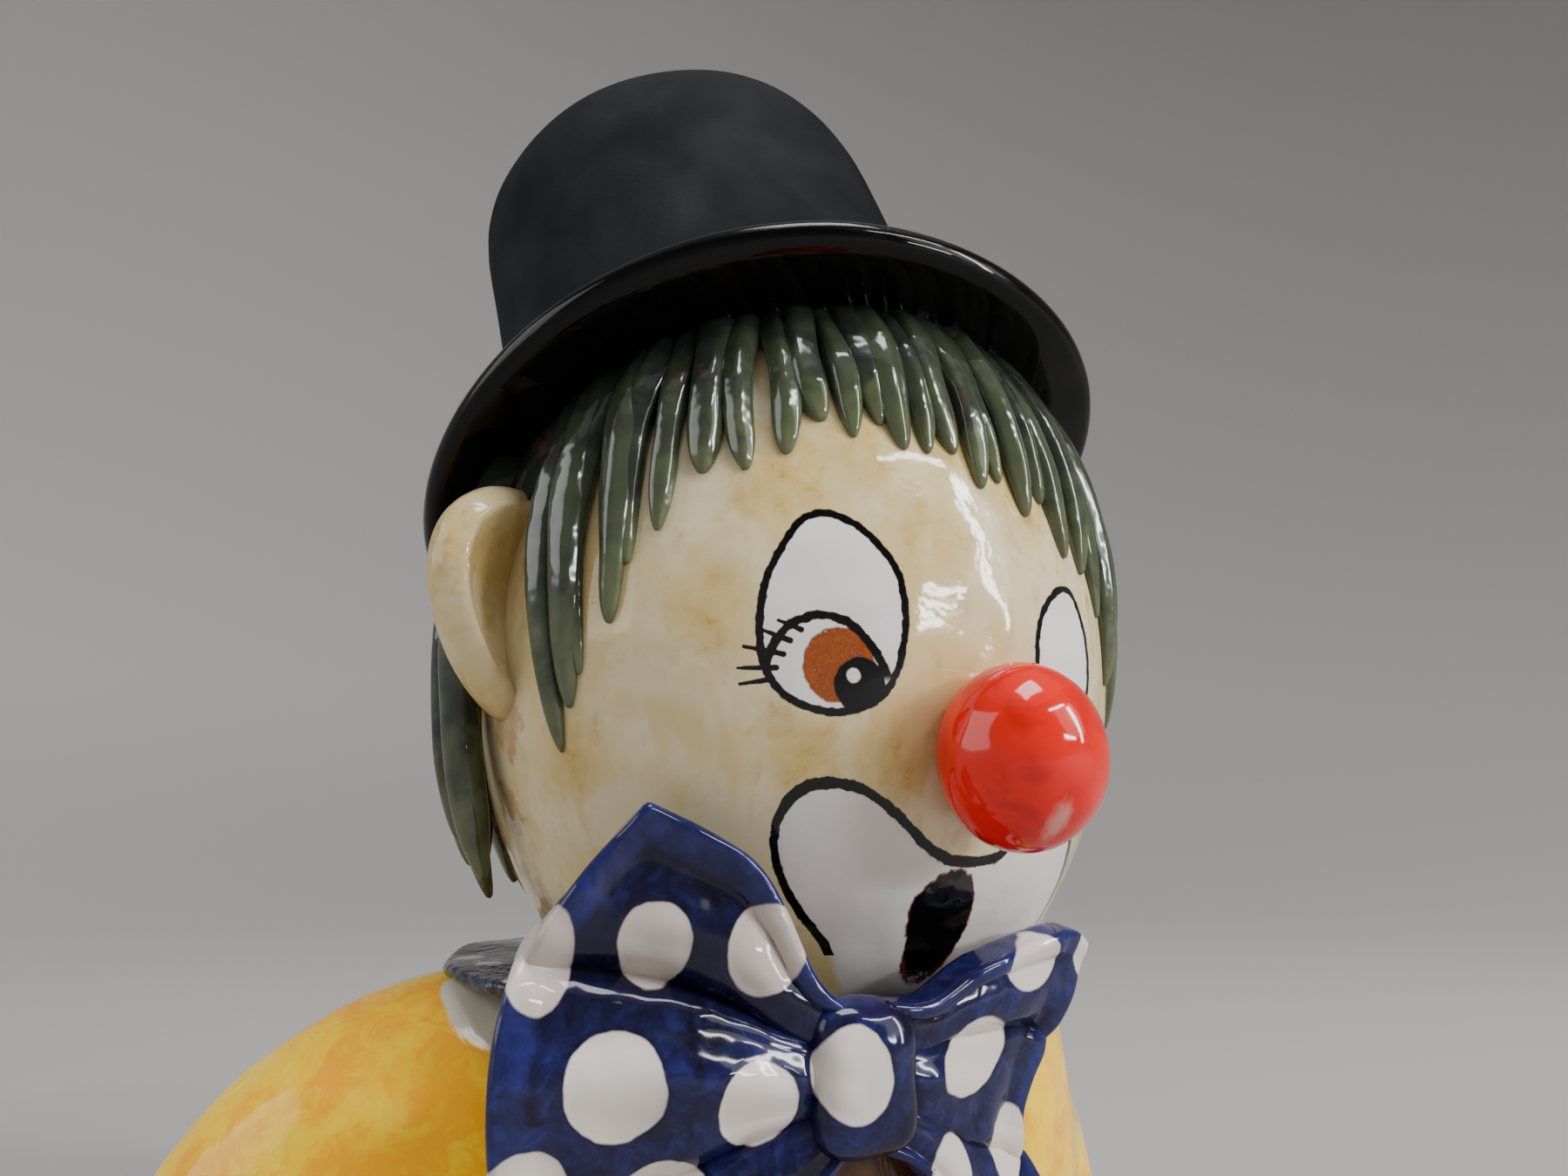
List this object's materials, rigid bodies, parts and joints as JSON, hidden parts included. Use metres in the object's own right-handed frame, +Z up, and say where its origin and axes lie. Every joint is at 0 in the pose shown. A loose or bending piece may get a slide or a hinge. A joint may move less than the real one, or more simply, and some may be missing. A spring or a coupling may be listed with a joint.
{
  "type": "clown figurine",
  "caption": "Glazed ceramic clown bust with a tipped top hat, rolled strands of hair, a ball nose and a spotted bow tie, cut flat below.",
  "frame": {"origin": "middle of the torso's cut on the flat underside, straight below the centre of the head", "axes": "+Z up, the head looks along -Y, +X to the figure's left"},
  "size_m": [0.1114, 0.0926, 0.1519],
  "materials": {
    "skin": "cream glaze with ochre wash in uneven brushed patches, glossy",
    "hat": "black glaze, satin on the crown and glossy on the brim",
    "hair": "dark olive green glaze, paler at the tips, glossy",
    "nose": "bright red glaze, glossy",
    "bow_tie": "brushed cobalt blue glaze with round white spots, glossy",
    "coat": "yellow glaze clouded with orange, with bare white patches, glossy",
    "collar": "thin dark blue glaze with pale spots, glossy",
    "shirt": "brown glaze, glossy"
  },
  "bodies": {
    "root": {"clown_bust": "skin"}
  },
  "joints": []
}
